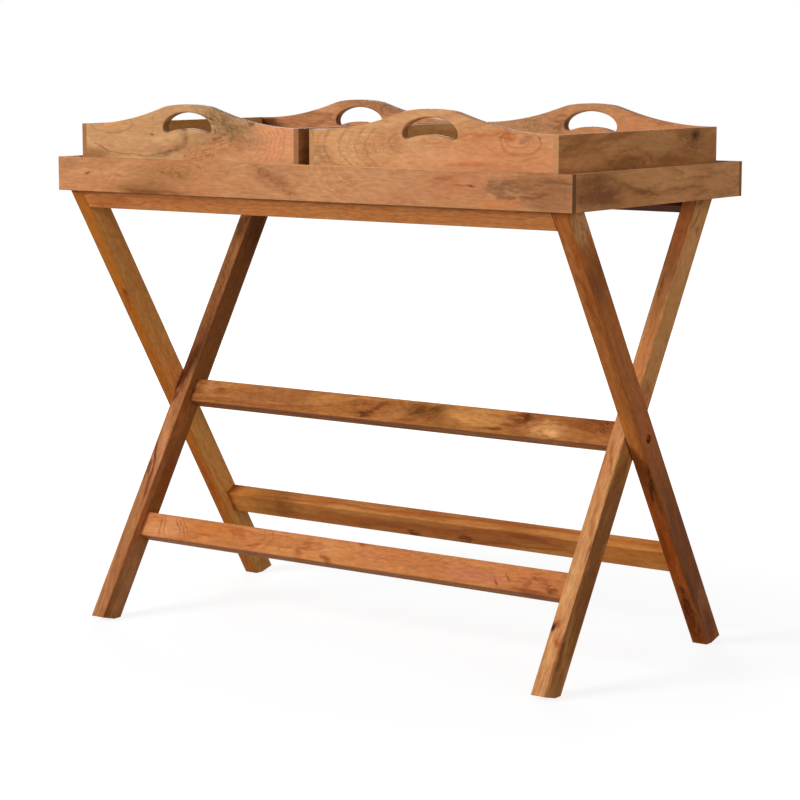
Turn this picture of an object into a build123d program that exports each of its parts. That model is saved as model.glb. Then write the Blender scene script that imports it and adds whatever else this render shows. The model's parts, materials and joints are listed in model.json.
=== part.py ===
from build123d import *
import os
from math import cos, radians, sin, tan

# Lengths are in millimetres. +X runs to the right along the table, +Y to the rear, +Z up.
# The origin is on the ground under the middle of the table.

# Large tray: four thin boards round a floor panel
TRAY_LENGTH = 930.0
TRAY_DEPTH = 490.0
TRAY_WALL_HEIGHT = 52.0
TRAY_WALL_THICKNESS = 9.0
TRAY_WALL_BOTTOM = 681.0
TRAY_SKIRT = 10.0  # the walls hang this far below the floor panel, round the stand's top
TRAY_FLOOR_THICKNESS = 8.0
TRAY_PIN_HEIGHTS = (5.0, 38.0)

# Serving trays: two plain sides that cover the ends of two wavy handle boards
SERVING_LENGTH = 422.0
SERVING_DEPTH = 452.0
SERVING_GAP = 19.0
SERVING_SIDE_HEIGHT = 85.0
SERVING_SIDE_THICKNESS = 9.0
SERVING_FLOOR_THICKNESS = 6.0
SERVING_FLOOR_LIFT = 4.0
SERVING_PIN_HEIGHTS = (22.0, 62.0)
HANDLE_THICKNESS = 15.0
HANDLE_RISE = 32.0  # crest of the wave above the side boards
HANDLE_CREST_HALF_WIDTH = 36.0
HANDLE_CREST_SLOPE = 8.0  # slope, in degrees, where the flat crest meets a shoulder
HANDLE_SHOULDER_RADIUS = 60.0
HANDLE_FLANK_SLOPE = 17.5  # slope of the straight flank between shoulder and flare
HAND_HOLE_HALF_WIDTH = 46.5
HAND_HOLE_MIDDLE = 81.5  # height of the arch's springing line above the tray's underside
HAND_HOLE_ARCH = 23.5
HAND_HOLE_CORNER_HALF_WIDTH = 45.5
HAND_HOLE_CORNER_DROP = 9.5
HAND_HOLE_HUMP_DROP = 0.3
HAND_HOLE_LOBE_RADIUS = 6.0
HAND_HOLE_ROUNDING = 2.5

# Boards of both kinds of tray
GROOVE_DEPTH = 4.0
PANEL_CLEARANCE = 0.3
BOARD_EASE = 1.0
PIN_RADIUS = 1.0
PIN_IN_COVER_BOARD = 7.0
PIN_IN_END_GRAIN = 23.0

# Stand: two crossed frames of sawn bars
LEG_WIDTH = 40.0
LEG_THICKNESS = 25.0
LEG_TILT = 32.0
LEG_EASE = 2.0
OUTER_LEG_SPAN = 900.0
LEG_GAP = 1.6
PIVOT_HEIGHT = 342.5
FOOT_LAND = 16.0  # level part of the foot, at its inner edge
FOOT_RELIEF = 7.0  # the sole rises this far to its outer edge
TOP_TRIM_CLEARANCE = 1.0  # between the trimmed leg tops and the tray's walls
STRETCHER_HEIGHT = 40.0
STRETCHER_THICKNESS = 24.0
STRETCHER_SETBACK = 13.0
LOWER_STRETCHER_ALONG = -239.0
RAIL_THICKNESS = 24.0
RAIL_BOTTOM_ALONG = 379.0
RAIL_DOWEL_ALONG = 397.0

# Joints and pivot hardware
DOWEL_RADIUS = 4.0
DOWEL_SPACING = 22.0
DOWEL_IN_LEG = 15.0
DOWEL_IN_BAR = 25.0
HOLE_EXTRA_DEPTH = 0.5
HOLE_CLEARANCE = 0.05
BOLT_RADIUS = 4.0
BOLT_HEAD_RADIUS = 6.25
BOLT_HEAD_HEIGHT = 5.0
BOLT_HEAD_CHAMFER = 0.6
BOLT_SOCKET_FLATS = 5.0
BOLT_SOCKET_DEPTH = 3.0
BOLT_TIP_CHAMFER = 0.8
BOLT_TIP_MARGIN = 1.6
COUNTERBORE_RADIUS = 6.75
COUNTERBORE_DEPTH = 12.0
WASHER_RADIUS = 11.0
WASHER_THICKNESS = 1.5
INSERT_RADIUS = 5.5
INSERT_LENGTH = 14.0
INSERT_MARGIN = 0.2

# Values worked out from the sizes above
tilt = radians(LEG_TILT)
half_width = LEG_WIDTH / 2
stand_top = TRAY_WALL_BOTTOM + TRAY_SKIRT
tray_floor_top = stand_top + TRAY_FLOOR_THICKNESS
tray_inner_length = TRAY_LENGTH - 2 * TRAY_WALL_THICKNESS
tray_inner_depth = TRAY_DEPTH - 2 * TRAY_WALL_THICKNESS
top_trim = tray_inner_depth / 2 - TOP_TRIM_CLEARANCE
outer_leg_face = OUTER_LEG_SPAN / 2
outer_leg_inside = outer_leg_face - LEG_THICKNESS
inner_leg_face = outer_leg_inside - LEG_GAP
inner_leg_inside = inner_leg_face - LEG_THICKNESS
stretcher_front = half_width - STRETCHER_SETBACK - STRETCHER_THICKNESS / 2
rail_middle = half_width - RAIL_THICKNESS / 2
handle_half_length = SERVING_LENGTH / 2 - SERVING_SIDE_THICKNESS
serving_inner_depth = SERVING_DEPTH - 2 * HANDLE_THICKNESS
hole_radius = DOWEL_RADIUS + HOLE_CLEARANCE
pin_hole_radius = PIN_RADIUS + HOLE_CLEARANCE
bolt_hole_radius = BOLT_RADIUS + HOLE_CLEARANCE

# A frame leans to the front (outer frame) or to the rear (inner frame) at its top
TO_FRONT = -1
TO_REAR = 1
BOTTOM_ALIGNED = (Align.CENTER, Align.CENTER, Align.MIN)


def save(piece, label):
    """Names a finished piece and writes its file."""
    piece.part.label = label
    export_step(piece.part, f"parts/{label}.step")


def leg_point(lean, along, front):
    """Y and Z of a point so far up the leg from the pivot, and so far in front of its middle line."""
    y = lean * sin(tilt) * along - cos(tilt) * front
    z = PIVOT_HEIGHT + cos(tilt) * along + lean * sin(tilt) * front
    return y, z


def face_y(lean, offset, height):
    """Y, at a height, of the plane along the leg that lies offset towards the leaning side."""
    return lean * ((height - PIVOT_HEIGHT) * tan(tilt) + offset / cos(tilt))


def trimmed_top(lean):
    """The plumb trim at a frame's upper outer corner, from below to the level top."""
    trim_height = PIVOT_HEIGHT + (top_trim - half_width / cos(tilt)) / tan(tilt)
    return [(lean * top_trim, trim_height), (lean * top_trim, stand_top)]


def dowel_points(lean, along, front):
    """The two dowel centres of a bar's joint, one above the other along the leg."""
    return [leg_point(lean, along + step, front) for step in (-DOWEL_SPACING / 2, DOWEL_SPACING / 2)]


outer_dowels = dowel_points(TO_FRONT, RAIL_DOWEL_ALONG, rail_middle)
outer_dowels += dowel_points(TO_FRONT, LOWER_STRETCHER_ALONG, stretcher_front)
inner_dowels = dowel_points(TO_REAR, RAIL_DOWEL_ALONG, -rail_middle)
inner_dowels += dowel_points(TO_REAR, LOWER_STRETCHER_ALONG, stretcher_front)
inner_dowels += dowel_points(TO_REAR, 0, stretcher_front)


def leg_blank(lean, side, outer_face):
    """A leg with its level top, plumb trim and relieved foot, before it is drilled."""
    inner_toe = face_y(lean, half_width, 0)
    outline = [
        (inner_toe, 0),
        (inner_toe - lean * FOOT_LAND, 0),
        (face_y(lean, -half_width, FOOT_RELIEF), FOOT_RELIEF),
        (face_y(lean, -half_width, stand_top), stand_top),
    ]
    outline += reversed(trimmed_top(lean))
    with BuildPart() as blank:
        with BuildSketch(Plane.YZ.offset(side * outer_face)):
            with BuildLine():
                Polyline(*outline, close=True)
            make_face()
        extrude(amount=-side * LEG_THICKNESS)
        fillet(blank.edges().filter_by(lambda edge: edge.length > PIVOT_HEIGHT), LEG_EASE)
    return blank.part


def across(x, point, side):
    """A plane square to the table's length at x, facing the right (1) or the left (-1)."""
    return Plane(origin=(x, *point), z_dir=(side, 0, 0))


def outer_leg(side):
    """Outer leg: counterbored on its outside for the pivot bolt, with blind dowel holes inside."""
    with BuildPart() as leg:
        add(leg_blank(TO_FRONT, side, outer_leg_face))
        with Locations(across(side * outer_leg_face, (0, PIVOT_HEIGHT), side)):
            CounterBoreHole(bolt_hole_radius, COUNTERBORE_RADIUS, COUNTERBORE_DEPTH)
        with Locations([across(side * outer_leg_inside, point, -side) for point in outer_dowels]):
            Hole(hole_radius, DOWEL_IN_LEG + HOLE_EXTRA_DEPTH)
    return leg


def inner_leg(side):
    """Inner leg: a pocket for the threaded insert on its inside, with blind dowel holes round it."""
    with BuildPart() as leg:
        add(leg_blank(TO_REAR, side, inner_leg_face))
        with Locations(across(side * inner_leg_inside, (0, PIVOT_HEIGHT), -side)):
            pocket_depth = INSERT_LENGTH + 2 * INSERT_MARGIN
            CounterBoreHole(bolt_hole_radius, INSERT_RADIUS + HOLE_CLEARANCE, pocket_depth)
        with Locations([across(side * inner_leg_inside, point, -side) for point in inner_dowels]):
            Hole(hole_radius, DOWEL_IN_LEG + HOLE_EXTRA_DEPTH)
    return leg


def drill_bar_ends(half_length, points):
    """Blind dowel holes in both ends of the bar that is being built."""
    for side in (-1, 1):
        with Locations([across(side * half_length, point, side) for point in points]):
            Hole(hole_radius, DOWEL_IN_BAR + HOLE_EXTRA_DEPTH)


def stretcher(lean, half_length, along):
    """A plain bar between two legs, its section turned with the legs and set back from their fronts."""
    middle = leg_point(lean, along, stretcher_front)
    along_leg = (0, lean * sin(tilt), cos(tilt))
    section = Plane(origin=(-half_length, *middle), x_dir=along_leg, z_dir=(1, 0, 0))
    with BuildPart() as bar:
        with BuildSketch(section):
            RectangleRounded(STRETCHER_HEIGHT, STRETCHER_THICKNESS, LEG_EASE)
        extrude(amount=2 * half_length)
        drill_bar_ends(half_length, dowel_points(lean, along, stretcher_front))
    return bar


def top_rail(lean, half_length):
    """A rail flush with the outer faces of its legs, cut level on top for the tray to rest on."""
    outline = [leg_point(lean, RAIL_BOTTOM_ALONG, -lean * half_width)]
    outline += trimmed_top(lean)
    outline += [
        (face_y(lean, half_width - RAIL_THICKNESS, stand_top), stand_top),
        leg_point(lean, RAIL_BOTTOM_ALONG, -lean * (half_width - RAIL_THICKNESS)),
    ]
    with BuildPart() as rail:
        with BuildSketch(Plane.YZ.offset(-half_length)):
            with BuildLine():
                Polyline(*outline, close=True)
            make_face()
        extrude(amount=2 * half_length)
        lower_edges = rail.edges().filter_by(Axis.X).sort_by(Axis.Z)[:2]
        fillet(lower_edges, LEG_EASE)
        drill_bar_ends(half_length, dowel_points(lean, RAIL_DOWEL_ALONG, -lean * rail_middle))
    return rail


def dowels(leg_face, points):
    """All glued dowels of one frame, half in the legs and half in the bars."""
    length = DOWEL_IN_LEG + DOWEL_IN_BAR
    with BuildPart() as group:
        for side in (-1, 1):
            start = side * (leg_face - DOWEL_IN_BAR)
            with Locations([across(start, point, side) for point in points]):
                Cylinder(DOWEL_RADIUS, length, align=BOTTOM_ALIGNED)
    return group


def pivot_bolt(side):
    """Socket-head furniture bolt: its head lies deep in the outer leg, its tip in the inner leg's insert."""
    seat = outer_leg_face - COUNTERBORE_DEPTH + HOLE_CLEARANCE
    shank_length = seat - inner_leg_inside - BOLT_TIP_MARGIN
    with BuildPart() as bolt:
        with Locations(across(side * seat, (0, PIVOT_HEIGHT), side)):
            Cylinder(BOLT_HEAD_RADIUS, BOLT_HEAD_HEIGHT, align=BOTTOM_ALIGNED)
        chamfer(bolt.edges().sort_by(Axis.X)[-1 if side > 0 else 0], BOLT_HEAD_CHAMFER)
        with Locations(across(side * seat, (0, PIVOT_HEIGHT), -side)):
            Cylinder(BOLT_RADIUS, shank_length, align=BOTTOM_ALIGNED)
        chamfer(bolt.edges().sort_by(Axis.X)[0 if side > 0 else -1], BOLT_TIP_CHAMFER)
        with BuildSketch(across(side * (seat + BOLT_HEAD_HEIGHT), (0, PIVOT_HEIGHT), side)):
            RegularPolygon(BOLT_SOCKET_FLATS / 2, 6, major_radius=False)
        extrude(amount=-BOLT_SOCKET_DEPTH, mode=Mode.SUBTRACT)
    return bolt


def tray_long_board(side):
    """Front or back board of the large tray: full length, with a stopped groove for the floor panel."""
    inner_face = side * tray_inner_depth / 2
    middle = side * (TRAY_DEPTH - TRAY_WALL_THICKNESS) / 2
    with BuildPart() as board:
        with Locations((0, middle, TRAY_WALL_BOTTOM)):
            Box(TRAY_LENGTH, TRAY_WALL_THICKNESS, TRAY_WALL_HEIGHT, align=BOTTOM_ALIGNED)
        long_edges = board.edges().filter_by(Axis.X)
        end_edges = board.edges().filter_by(Axis.Z).sort_by(Axis.Y)
        fillet(long_edges + (end_edges[:2] if side < 0 else end_edges[2:]), BOARD_EASE)
        with Locations((0, inner_face, stand_top)):
            groove_length = tray_inner_length + 2 * GROOVE_DEPTH
            groove = (groove_length, 2 * GROOVE_DEPTH, TRAY_FLOOR_THICKNESS)
            Box(*groove, align=BOTTOM_ALIGNED, mode=Mode.SUBTRACT)
        with Locations([Plane(origin=spot, z_dir=(0, -side, 0)) for spot in tray_pin_spots(side)]):
            Hole(pin_hole_radius, PIN_IN_COVER_BOARD + HOLE_EXTRA_DEPTH)
    return board


def tray_pin_spots(side):
    """Where the corner pins cross from the front or back board into the end boards."""
    x = (TRAY_LENGTH - TRAY_WALL_THICKNESS) / 2
    heights = [TRAY_WALL_BOTTOM + height for height in TRAY_PIN_HEIGHTS]
    return [(end * x, side * tray_inner_depth / 2, height) for end in (-1, 1) for height in heights]


def tray_end_board(side):
    """Left or right board of the large tray, between the front and back boards."""
    middle = side * (TRAY_LENGTH - TRAY_WALL_THICKNESS) / 2
    with BuildPart() as board:
        with Locations((middle, 0, TRAY_WALL_BOTTOM)):
            Box(TRAY_WALL_THICKNESS, tray_inner_depth, TRAY_WALL_HEIGHT, align=BOTTOM_ALIGNED)
        fillet(board.edges().filter_by(Axis.Y), BOARD_EASE)
        with Locations((side * tray_inner_length / 2, 0, stand_top)):
            groove = (2 * GROOVE_DEPTH, tray_inner_depth, TRAY_FLOOR_THICKNESS)
            Box(*groove, align=BOTTOM_ALIGNED, mode=Mode.SUBTRACT)
        for end in (-1, 1):
            spots = [spot for spot in tray_pin_spots(end) if spot[0] * side > 0]
            with Locations([Plane(origin=spot, z_dir=(0, end, 0)) for spot in spots]):
                Hole(pin_hole_radius, PIN_IN_END_GRAIN + HOLE_EXTRA_DEPTH)
    return board


def floor_panel(centre_x, base, inner_length, inner_depth, thickness):
    """A tray's floor panel, let into the grooves of the boards round it."""
    margin = 2 * (GROOVE_DEPTH - PANEL_CLEARANCE)
    with BuildPart() as panel:
        with Locations((centre_x, 0, base)):
            Box(inner_length + margin, inner_depth + margin, thickness, align=BOTTOM_ALIGNED)
    return panel


def tray_pins():
    """Headless steel pins at the large tray's corners."""
    length = PIN_IN_COVER_BOARD + PIN_IN_END_GRAIN
    with BuildPart() as group:
        for side in (-1, 1):
            starts = [(x, y - side * PIN_IN_END_GRAIN, z) for x, y, z in tray_pin_spots(side)]
            with Locations([Plane(origin=start, z_dir=(0, side, 0)) for start in starts]):
                Cylinder(PIN_RADIUS, length, align=BOTTOM_ALIGNED)
    return group


def serving_pin_spots(centre_x, side):
    """Where the corner pins cross from a serving tray's side board into its handle boards."""
    x = centre_x + side * handle_half_length
    y = (SERVING_DEPTH - HANDLE_THICKNESS) / 2
    heights = [tray_floor_top + height for height in SERVING_PIN_HEIGHTS]
    return [(x, end * y, height) for end in (-1, 1) for height in heights]


def wave_outline(centre_x):
    """Top line of a handle board, in the line being built: crest, shoulders, flanks and flares."""
    steep, gentle = radians(HANDLE_FLANK_SLOPE), radians(HANDLE_CREST_SLOPE)
    end_height = tray_floor_top + SERVING_SIDE_HEIGHT
    crest_radius = HANDLE_CREST_HALF_WIDTH / sin(gentle)
    crest_centre = end_height + HANDLE_RISE - crest_radius
    shoulder_x = (crest_radius - HANDLE_SHOULDER_RADIUS) * sin(gentle)
    shoulder_z = crest_centre + (crest_radius - HANDLE_SHOULDER_RADIUS) * cos(gentle)
    flank_top_x = shoulder_x + HANDLE_SHOULDER_RADIUS * sin(steep)
    flank_top_rise = shoulder_z + HANDLE_SHOULDER_RADIUS * cos(steep) - end_height
    # The flare starts where a tangent arc from there ends level at the end of the board
    flare_reach = handle_half_length - flank_top_x
    flank_run = (flank_top_rise - flare_reach * tan(steep / 2)) / (tan(steep) - tan(steep / 2))
    flare_radius = (flare_reach - flank_run) / sin(steep)
    crest_turn, shoulder_turn = 2 * HANDLE_CREST_SLOPE, HANDLE_FLANK_SLOPE - HANDLE_CREST_SLOPE
    CenterArc((centre_x, crest_centre), crest_radius, 90 - HANDLE_CREST_SLOPE, crest_turn)
    for hand, first_angle in ((1, 90 - HANDLE_FLANK_SLOPE), (-1, 90 + HANDLE_CREST_SLOPE)):
        shoulder = (centre_x + hand * shoulder_x, shoulder_z)
        CenterArc(shoulder, HANDLE_SHOULDER_RADIUS, first_angle, shoulder_turn)
        flare_middle = (centre_x + hand * handle_half_length, end_height + flare_radius)
        flare = CenterArc(flare_middle, flare_radius, 270, -hand * HANDLE_FLANK_SLOPE)
        Line(flare @ 1, (centre_x + hand * flank_top_x, end_height + flank_top_rise))


def handle_board(centre_x, side):
    """Front or back board of a serving tray: a wave on top and a kidney-shaped hand hole."""
    end_height = tray_floor_top + SERVING_SIDE_HEIGHT
    left, right = centre_x - handle_half_length, centre_x + handle_half_length
    rear_face = -SERVING_DEPTH / 2 + HANDLE_THICKNESS if side < 0 else SERVING_DEPTH / 2
    hole_middle = tray_floor_top + HAND_HOLE_MIDDLE
    corner = hole_middle - HAND_HOLE_CORNER_DROP
    hump = hole_middle - HAND_HOLE_HUMP_DROP
    with BuildPart() as board:
        with BuildSketch(Plane.XZ.offset(-rear_face)):
            with BuildLine():
                foot_left, foot_right = (left, tray_floor_top), (right, tray_floor_top)
                Polyline((left, end_height), foot_left, foot_right, (right, end_height))
                wave_outline(centre_x)
            make_face()
        extrude(amount=HANDLE_THICKNESS)
        face_edges = board.edges().filter_by(Axis.Y, reverse=True)
        wave_edges = face_edges.filter_by(lambda edge: edge.center().Z > end_height + BOARD_EASE)
        fillet(wave_edges, BOARD_EASE)
        with BuildSketch(Plane.XZ.offset(-rear_face)) as hole:
            with BuildLine():
                arch = EllipticalCenterArc(
                    (centre_x, hole_middle), HAND_HOLE_HALF_WIDTH, HAND_HOLE_ARCH, 0, arc_size=180
                )
                low_right = (centre_x + HAND_HOLE_CORNER_HALF_WIDTH, corner)
                low_left = (centre_x - HAND_HOLE_CORNER_HALF_WIDTH, corner)
                Line(arch @ 1, low_left)
                ThreePointArc(low_left, (centre_x, hump), low_right)
                Line(low_right, arch @ 0)
            make_face()
            fillet(hole.vertices().sort_by(Axis.Y)[:2], HAND_HOLE_LOBE_RADIUS)
        extrude(amount=HANDLE_THICKNESS, mode=Mode.SUBTRACT)
        faces = board.faces().filter_by(Axis.Y).sort_by(Axis.Y)
        rims = [face.inner_wires()[0].edges() for face in (faces[0], faces[-1])]
        fillet(rims[0] + rims[1], HAND_HOLE_ROUNDING)
        with Locations((centre_x, side * serving_inner_depth / 2, tray_floor_top + SERVING_FLOOR_LIFT)):
            groove = (2 * handle_half_length, 2 * GROOVE_DEPTH, SERVING_FLOOR_THICKNESS)
            Box(*groove, align=BOTTOM_ALIGNED, mode=Mode.SUBTRACT)
        for end in (-1, 1):
            spots = [spot for spot in serving_pin_spots(centre_x, end) if spot[1] * side > 0]
            with Locations([Plane(origin=spot, z_dir=(end, 0, 0)) for spot in spots]):
                Hole(pin_hole_radius, PIN_IN_END_GRAIN + HOLE_EXTRA_DEPTH)
    return board


def serving_side(centre_x, side):
    """Left or right board of a serving tray: plain, full depth, with a stopped groove for the floor."""
    middle = centre_x + side * (SERVING_LENGTH - SERVING_SIDE_THICKNESS) / 2
    with BuildPart() as board:
        with Locations((middle, 0, tray_floor_top)):
            Box(SERVING_SIDE_THICKNESS, SERVING_DEPTH, SERVING_SIDE_HEIGHT, align=BOTTOM_ALIGNED)
        long_edges = board.edges().filter_by(Axis.Y)
        end_edges = board.edges().filter_by(Axis.Z).sort_by(Axis.X)
        fillet(long_edges + (end_edges[:2] if side < 0 else end_edges[2:]), BOARD_EASE)
        inner_face = centre_x + side * handle_half_length
        with Locations((inner_face, 0, tray_floor_top + SERVING_FLOOR_LIFT)):
            groove = (2 * GROOVE_DEPTH, serving_inner_depth + 2 * GROOVE_DEPTH, SERVING_FLOOR_THICKNESS)
            Box(*groove, align=BOTTOM_ALIGNED, mode=Mode.SUBTRACT)
        spots = serving_pin_spots(centre_x, side)
        with Locations([Plane(origin=spot, z_dir=(-side, 0, 0)) for spot in spots]):
            Hole(pin_hole_radius, PIN_IN_COVER_BOARD + HOLE_EXTRA_DEPTH)
    return board


def serving_pins(centre_x):
    """Headless steel pins at one serving tray's corners."""
    length = PIN_IN_COVER_BOARD + PIN_IN_END_GRAIN
    with BuildPart() as group:
        for side in (-1, 1):
            spots = serving_pin_spots(centre_x, side)
            starts = [(x - side * PIN_IN_END_GRAIN, y, z) for x, y, z in spots]
            with Locations([Plane(origin=start, z_dir=(side, 0, 0)) for start in starts]):
                Cylinder(PIN_RADIUS, length, align=BOTTOM_ALIGNED)
    return group


os.makedirs("parts", exist_ok=True)

# Legs and pivot bolts, left and right
for side_name, side in (("left", -1), ("right", 1)):
    save(outer_leg(side), f"outer_leg_{side_name}")
    save(inner_leg(side), f"inner_leg_{side_name}")
    save(pivot_bolt(side), f"pivot_bolt_{side_name}")

# Bars of the two frames
save(top_rail(TO_FRONT, outer_leg_inside), "front_top_rail")
save(top_rail(TO_REAR, inner_leg_inside), "rear_top_rail")
save(stretcher(TO_FRONT, outer_leg_inside, LOWER_STRETCHER_ALONG), "rear_lower_stretcher")
save(stretcher(TO_REAR, inner_leg_inside, LOWER_STRETCHER_ALONG), "front_lower_stretcher")
save(stretcher(TO_REAR, inner_leg_inside, 0), "middle_stretcher")
save(dowels(outer_leg_inside, outer_dowels), "outer_frame_dowels")
save(dowels(inner_leg_inside, inner_dowels), "inner_frame_dowels")

# Spacer washers between the legs, one at each pivot
with BuildPart() as spacer_washers:
    for side in (-1, 1):
        washer_start = side * (inner_leg_face + (LEG_GAP - WASHER_THICKNESS) / 2)
        with Locations(across(washer_start, (0, PIVOT_HEIGHT), side)):
            Cylinder(WASHER_RADIUS, WASHER_THICKNESS, align=BOTTOM_ALIGNED)
            Cylinder(bolt_hole_radius, WASHER_THICKNESS, align=BOTTOM_ALIGNED, mode=Mode.SUBTRACT)
save(spacer_washers, "pivot_spacer_washers")

# Threaded inserts in the inner legs, one at each pivot
with BuildPart() as threaded_inserts:
    for side in (-1, 1):
        insert_start = side * (inner_leg_inside + INSERT_MARGIN)
        with Locations(across(insert_start, (0, PIVOT_HEIGHT), side)):
            Cylinder(INSERT_RADIUS, INSERT_LENGTH, align=BOTTOM_ALIGNED)
            Cylinder(bolt_hole_radius, INSERT_LENGTH, align=BOTTOM_ALIGNED, mode=Mode.SUBTRACT)
save(threaded_inserts, "pivot_threaded_inserts")

# Large tray
save(tray_long_board(-1), "large_tray_front_board")
save(tray_long_board(1), "large_tray_back_board")
save(tray_end_board(-1), "large_tray_left_board")
save(tray_end_board(1), "large_tray_right_board")
large_floor = floor_panel(0, stand_top, tray_inner_length, tray_inner_depth, TRAY_FLOOR_THICKNESS)
save(large_floor, "large_tray_floor")
save(tray_pins(), "large_tray_pins")

# Serving trays, left and right
for tray_name, tray_side in (("left", -1), ("right", 1)):
    tray = f"serving_tray_{tray_name}"
    tray_centre = tray_side * (SERVING_GAP + SERVING_LENGTH) / 2
    floor_base = tray_floor_top + SERVING_FLOOR_LIFT
    floor_size = (2 * handle_half_length, serving_inner_depth, SERVING_FLOOR_THICKNESS)
    save(handle_board(tray_centre, -1), f"{tray}_front_handle_board")
    save(handle_board(tray_centre, 1), f"{tray}_back_handle_board")
    save(serving_side(tray_centre, -1), f"{tray}_left_side_board")
    save(serving_side(tray_centre, 1), f"{tray}_right_side_board")
    save(floor_panel(tray_centre, floor_base, *floor_size), f"{tray}_floor")
    save(serving_pins(tray_centre), f"{tray}_pins")
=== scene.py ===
import json
from math import cos, radians, sin

import bpy
import numpy as np
from mathutils import Matrix, Vector


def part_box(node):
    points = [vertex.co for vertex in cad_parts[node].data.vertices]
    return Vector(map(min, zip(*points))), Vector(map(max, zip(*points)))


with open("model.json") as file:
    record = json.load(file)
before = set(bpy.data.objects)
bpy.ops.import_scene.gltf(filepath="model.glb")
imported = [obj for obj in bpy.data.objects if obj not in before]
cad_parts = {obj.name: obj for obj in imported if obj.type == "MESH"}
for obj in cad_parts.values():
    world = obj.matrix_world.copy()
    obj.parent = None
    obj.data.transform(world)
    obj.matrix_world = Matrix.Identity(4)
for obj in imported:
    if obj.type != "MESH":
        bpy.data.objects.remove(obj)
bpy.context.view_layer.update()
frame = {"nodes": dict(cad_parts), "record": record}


# Outer legs: two sawn hardwood bars whose tops lean to the front, oiled to an amber and a red brown.
# The front rail and the rear stretcher are dowelled between them, and the pivot bolts pass through them.
class Wire:
    """A value on its way through a material: sums and products of wires and numbers add Math nodes."""

    def __init__(self, tree, socket):
        self.tree = tree
        self.socket = socket

    def node(self, kind, settings, sockets, output=0):
        """Adds a node, with its settings first, then values or wires on its sockets; gives one output."""
        made = self.tree.nodes.new(kind)
        for key, value in settings.items():
            if key == "stops":
                stops = made.color_ramp.elements
                for place, _ in value[len(stops):]:
                    stops.new(place)
                for stop, (place, level) in zip(stops, value):
                    stop.position = place
                    stop.color = (level, level, level, 1.0)
            else:
                setattr(made, key, value)
        for key, value in sockets.items():
            if isinstance(value, Wire):
                self.tree.links.new(value.socket, made.inputs[key])
            else:
                made.inputs[key].default_value = value
        return Wire(self.tree, made.outputs[output])

    def maths(self, operation, first, second=0.0):
        """A Math node on two numbers."""
        return self.node("ShaderNodeMath", {"operation": operation}, {0: first, 1: second})

    def vectors(self, operation, first, second=(0.0, 0.0, 0.0), output="Vector"):
        """A Vector Math node on two places, directions or colours."""
        return self.node("ShaderNodeVectorMath", {"operation": operation}, {0: first, 1: second}, output)

    def __add__(self, other):
        return self.maths("ADD", self, other)

    __radd__ = __add__

    def __sub__(self, other):
        return self.maths("SUBTRACT", self, other)

    def __rsub__(self, other):
        return self.maths("SUBTRACT", other, self)

    def __mul__(self, other):
        return self.maths("MULTIPLY", self, other)

    __rmul__ = __mul__

    def __truediv__(self, other):
        return self.maths("DIVIDE", self, other)

    def __rtruediv__(self, other):
        return self.maths("DIVIDE", other, self)


def tone(red, green, blue):
    """Linear colour of a tone read as 0 to 255 on a screen."""
    shown = np.array([red, green, blue]) / 255.0
    linear = np.where(shown <= 0.04045, shown / 12.92, ((shown + 0.055) / 1.055) ** 2.4)
    return (*linear.tolist(), 1.0)


def placed(vector, place, size, turn=(0.0, 0.0, 0.0)):
    """Coordinates in a frame that is centred at a place, turned and measured in its own half sizes."""
    sockets = {"Vector": vector, "Location": place, "Rotation": turn, "Scale": size}
    return vector.node("ShaderNodeMapping", {"vector_type": "TEXTURE"}, sockets)


def grained(vector, lengths, seed, detail=2.0, output="Fac"):
    """Noise whose lumps are as long as the three lengths along, across and through the board."""
    drift = (seed * 71.3, seed * 37.9, seed * 53.7)
    stretched = placed(vector, drift, lengths)
    sockets = {"Vector": stretched, "Scale": 1.0, "Detail": detail}
    return stretched.node("ShaderNodeTexNoise", {"noise_dimensions": "3D"}, sockets, output)


def nudged(vector, lengths, seed, detail, reach):
    """A place moved about by noise whose lumps have these lengths, by up to half the reach each way."""
    noise = grained(vector, lengths, seed, detail, "Color")
    offset = noise.vectors("SUBTRACT", noise, (0.5, 0.5, 0.5))
    return noise.vectors("ADD", vector, noise.vectors("MULTIPLY", offset, reach))


def between(value, low, high, start=0.0, end=1.0):
    """Eases a value from start to end as it goes from low to high."""
    sockets = {"Value": value, 1: low, 2: high, 3: start, 4: end}
    return value.node("ShaderNodeMapRange", {"interpolation_type": "SMOOTHSTEP"}, sockets)


def tinted(colour, mask, other):
    """Mixes another colour into a colour by a mask."""
    settings = {"data_type": "RGBA", "blend_type": "MIX"}
    return mask.node("ShaderNodeMix", settings, {0: mask, 6: colour, 7: other}, 2)


def length_of(vector):
    """Distance from the origin."""
    return vector.vectors("LENGTH", vector, output="Value")


def new_finish(name):
    """A new material, its shader and a wire to start from."""
    material = bpy.data.materials.new(name)
    material.use_nodes = True
    shader = material.node_tree.nodes["Principled BSDF"]
    return material, shader, Wire(material.node_tree, shader.outputs[0])


def feed(shader, wires):
    """Links each wire to the shader's socket of that name."""
    for name, wire in wires.items():
        wire.tree.links.new(wire.socket, shader.inputs[name])


def dress(piece, material):
    """Gives a solid of the frame its only material."""
    slots = frame["nodes"][piece].data.materials
    slots.clear()
    slots.append(material)


FRONT_FACE = (0.0, 0.0, 1.0)
RIGHT_FACE = (0.0, -1.0, 0.0)
SMALL_MARK, LONG_MARK = 2.6, 40.0
CLEAN_EDGE, CALM_EDGE, RAGGED_EDGE = 0.6, 2.4, 5.0
THROUGH_BOARD, WHOLE_FACE = 400.0, 9000.0


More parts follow.
